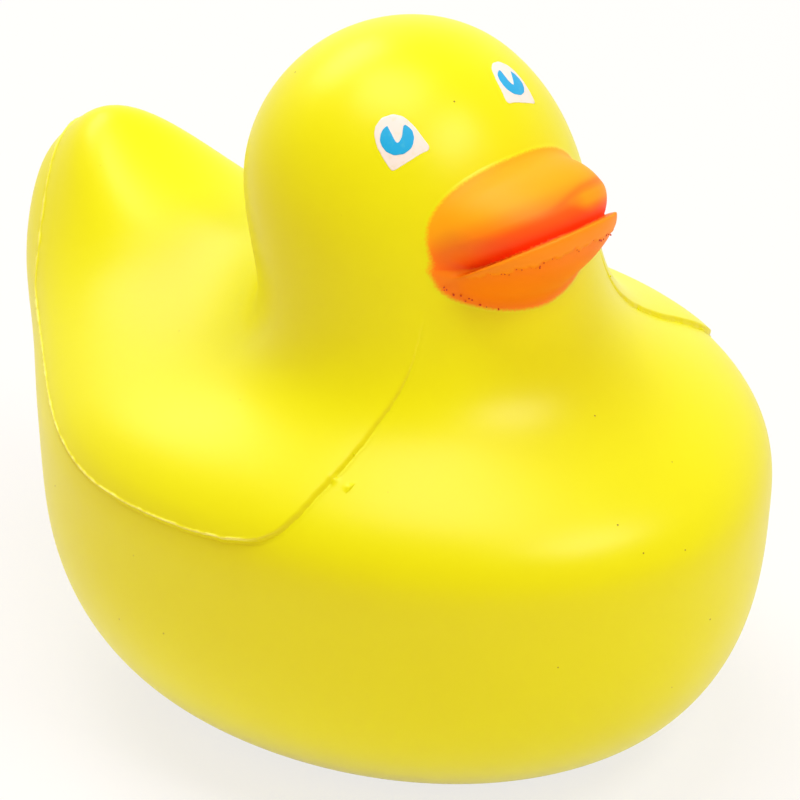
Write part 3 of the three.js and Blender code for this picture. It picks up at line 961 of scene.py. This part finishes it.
# Stage: a pale floor under a white surround, three soft boxes and a warm fill from the horizon.
# The camera's turn and rise are in degrees, and the picture's scale in pixels per millimetre at its aim
CAMERA_TURN = 43.119
CAMERA_RISE = 28.802
CAMERA_AWAY = 733.3
CAMERA_AIM = (1.966, 0, 33.302)
PICTURE_SCALE = 9.338
PICTURE_WIDTH = 800
SENSOR = 36.0
# Place, width and height in metres, and radiance of the face
LAMPS = {
    "front_box": ((0.4, 0.1, 0.62), 0.34, 0.2, 8.2),
    "back_box": ((-0.49, 0.09, 0.56), 0.4, 0.3, 4.4),
    "top_box": ((-0.04, -0.03, 0.8), 0.42, 0.42, 5.1),
}
LAMPS_AIM = (0, 0, 0.04)
FILL_COLOUR = "#FFCC80"
FILL_AT_HORIZON = 1.05
FILL_OVERHEAD = 0.2
FLOOR_REACH = 4.0
FLOOR_UNDER_BASE = 0.05 * MM
FLOOR_PAPER = (0.92, 0.91, 0.95, 1)
FLOOR_GLOW = 0.76
WHITE = (1, 1, 1, 1)


def set_camera():
    """The viewpoint from which the duck fills the picture as it does in the photo."""
    turn = math.radians(CAMERA_TURN)
    rise = math.radians(CAMERA_RISE)
    back = Vector((math.cos(turn) * math.cos(rise), -math.sin(turn) * math.cos(rise), math.sin(rise)))
    right = Vector((math.sin(turn), math.cos(turn), 0))
    up = back.cross(right)
    eye = Vector(CAMERA_AIM) + Vector((BODY_AHEAD, 0, 0)) + back * CAMERA_AWAY
    data = bpy.data.cameras.new("camera")
    data.sensor_width = SENSOR
    data.lens = PICTURE_SCALE * CAMERA_AWAY * SENSOR / PICTURE_WIDTH
    data.clip_end = 20
    camera = bpy.data.objects.new("camera", data)
    camera.matrix_world = Matrix.Translation(eye * MM) @ Matrix((right, up, back)).transposed().to_4x4()
    bpy.context.scene.collection.objects.link(camera)
    bpy.context.scene.camera = camera


def add_lamp(name, place, width, height, radiance):
    """A white soft box of a given width and height in metres, whose face shines at a given radiance."""
    data = bpy.data.lights.new(name, "AREA")
    data.shape = "RECTANGLE"
    data.size = width
    data.size_y = height
    data.energy = radiance * math.pi * width * height
    lamp = bpy.data.objects.new(name, data)
    lamp.location = place
    lamp.rotation_euler = (Vector(LAMPS_AIM) - Vector(place)).to_track_quat("-Z", "Y").to_euler()
    bpy.context.scene.collection.objects.link(lamp)


def seen_rays(tree):
    """1 for rays that see the background, straight or in a reflection."""
    light_path = node(tree, "ShaderNodeLightPath")
    first = node(tree, "ShaderNodeMath", {"operation": "MAXIMUM"},
                 {0: light_path.outputs["Is Camera Ray"], 1: light_path.outputs["Is Glossy Ray"]})
    return node(tree, "ShaderNodeMath", {"operation": "MAXIMUM"},
                {0: first.outputs[0], 1: light_path.outputs["Is Transmission Ray"]}).outputs[0]


def set_surround():
    """White to the eye, and a warm fill that is strongest from the horizon."""
    world = bpy.data.worlds.new("white_surround")
    world.use_nodes = True
    tree = world.node_tree
    tree.nodes.clear()
    direction = node(tree, "ShaderNodeTexCoord").outputs["Generated"]
    height = node(tree, "ShaderNodeSeparateXYZ", {}, {"Vector": direction}).outputs["Z"]
    strength = node(tree, "ShaderNodeMapRange",
                    {"interpolation_type": "SMOOTHSTEP", "From Min": 0.1, "From Max": 0.8,
                     "To Min": FILL_AT_HORIZON, "To Max": FILL_OVERHEAD}, {"Value": height})
    fill = node(tree, "ShaderNodeBackground", {"Color": linear(FILL_COLOUR)},
                {"Strength": strength.outputs[0]})
    white = node(tree, "ShaderNodeBackground", {"Color": WHITE, "Strength": 1.0})
    seen = node(tree, "ShaderNodeMixShader", {},
                {0: seen_rays(tree), 1: fill.outputs[0], 2: white.outputs[0]})
    node(tree, "ShaderNodeOutputWorld", {}, {"Surface": seen.outputs[0]})
    bpy.context.scene.world = world


def set_floor():
    """White paper that fades into the surround but keeps the duck's shadow."""
    mesh = bpy.data.meshes.new("floor")
    corners = []
    for x, y in ((-1, -1), (1, -1), (1, 1), (-1, 1)):
        corners.append((x * FLOOR_REACH, y * FLOOR_REACH, -FLOOR_UNDER_BASE))
    mesh.from_pydata(corners, [], [(0, 1, 2, 3)])
    floor = bpy.data.objects.new("floor", mesh)
    bpy.context.scene.collection.objects.link(floor)
    material, tree = start_material("white_paper_floor")
    paper = node(tree, "ShaderNodeBsdfDiffuse", {"Color": FLOOR_PAPER})
    glow = node(tree, "ShaderNodeEmission", {"Color": WHITE, "Strength": 1.0})
    rays = node(tree, "ShaderNodeMath", {"operation": "MULTIPLY", 1: FLOOR_GLOW}, {0: seen_rays(tree)})
    both = node(tree, "ShaderNodeMixShader", {},
                {0: rays.outputs[0], 1: paper.outputs[0], 2: glow.outputs[0]})
    node(tree, "ShaderNodeOutputMaterial", {}, {"Surface": both.outputs[0]})
    mesh.materials.append(material)


line = parting_line()
duck_piece(line)
seam_piece(line)
bill_piece()
for eye_name, eye_place in EYES.items():
    eye_pieces(eye_name, eye_place)
crumb_pieces(line)
set_camera()
set_surround()
set_floor()
for lamp_name, lamp_sizes in LAMPS.items():
    add_lamp(lamp_name, *lamp_sizes)
bpy.context.scene.view_settings.view_transform = "Standard"
